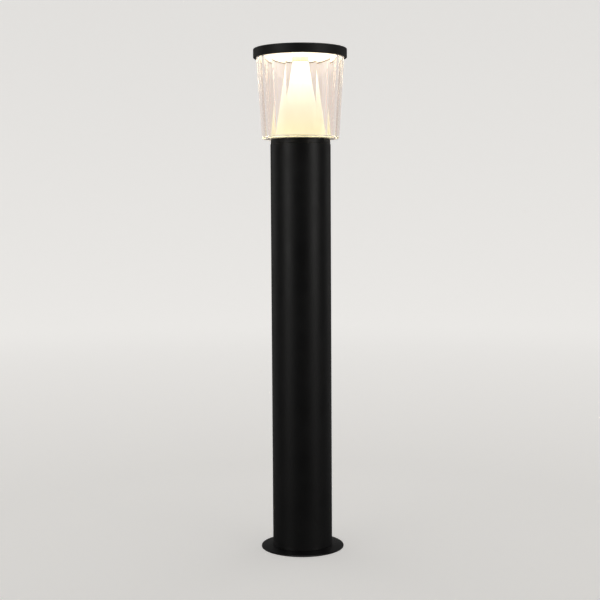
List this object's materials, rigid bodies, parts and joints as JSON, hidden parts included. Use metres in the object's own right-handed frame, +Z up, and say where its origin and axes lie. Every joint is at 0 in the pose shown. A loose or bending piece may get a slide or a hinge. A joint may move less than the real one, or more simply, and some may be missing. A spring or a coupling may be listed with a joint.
{
  "type": "bollard light",
  "caption": "Garden bollard light: slim round pole on a thin floor flange, with a tapered fluted clear lens over a white reflector cone, lit from a thick disc cap.",
  "frame": {"origin": "centre of the base flange's underside, on the ground", "axes": "+Z up along the pole; -Y is the front, as the lamp is seen in the picture; +X to the right"},
  "size_m": [0.1186, 0.1186, 0.638],
  "materials": {
    "black_powder_coat": "satin",
    "black_rubber": "matte",
    "stainless_steel": "satin",
    "clear_plastic": "gloss",
    "grey_silicone": "satin",
    "white_plastic": "satin",
    "natural_nylon": "matte",
    "opal_plastic": "satin",
    "thermal_pad_grey": "matte",
    "board_white": "satin",
    "led_phosphor": "satin",
    "black_plastic": "matte",
    "lead_red": "satin",
    "lead_black": "satin",
    "zinc_plated_sheet": "satin",
    "driver_case": "matte",
    "terminal_plastic": "satin",
    "brass": "satin",
    "lead_brown": "satin",
    "lead_blue": "satin",
    "lead_green_yellow": "satin",
    "tinned_copper": "satin"
  },
  "bodies": {
    "base": {"base_flange": "black_powder_coat", "cable_grommet": "black_rubber"},
    "pole": {"pole_tube": "black_powder_coat", "base_grub_screws": "stainless_steel", "head_grub_screws": "stainless_steel"},
    "head": {"board_screws": "stainless_steel", "cap_seal": "grey_silicone", "clamp_screws": "stainless_steel", "collar_o_ring": "black_rubber", "cone_bush": "natural_nylon", "cord_clamp": "black_plastic", "driver_screws": "stainless_steel", "earth_lead": "lead_green_yellow", "earth_lug": "tinned_copper", "earth_screw": "stainless_steel", "fluted_lens": "clear_plastic", "gear_tray": "zinc_plated_sheet", "head_collar": "black_powder_coat", "lead_bush": "black_plastic", "led_board": "board_white", "led_chips": "led_phosphor", "led_driver": "driver_case", "led_lead_negative": "lead_black", "led_lead_positive": "lead_red", "lens_base_seal": "grey_silicone", "live_lead": "lead_brown", "neutral_lead": "lead_blue", "opal_disc": "opal_plastic", "reflector_cone": "white_plastic", "terminal_barrels": "brass", "terminal_block": "terminal_plastic", "terminal_fixing_screw": "stainless_steel", "terminal_screws": "stainless_steel", "thermal_pad": "thermal_pad_grey", "tie_rod": "stainless_steel", "tie_rod_nut": "stainless_steel", "tie_rod_seal": "black_rubber", "tie_rod_washer": "stainless_steel", "top_cap": "black_powder_coat", "tray_screws": "stainless_steel"}
  },
  "joints": [
    {"name": "pole_lift", "type": "slide", "parent": "base", "child": "pole", "axis": [0, 0, 1], "range_m": [0, 0.06]},
    {"name": "head_lift", "type": "slide", "parent": "pole", "child": "head", "axis": [0, 0, 1], "range_m": [0, 0.2]}
  ]
}
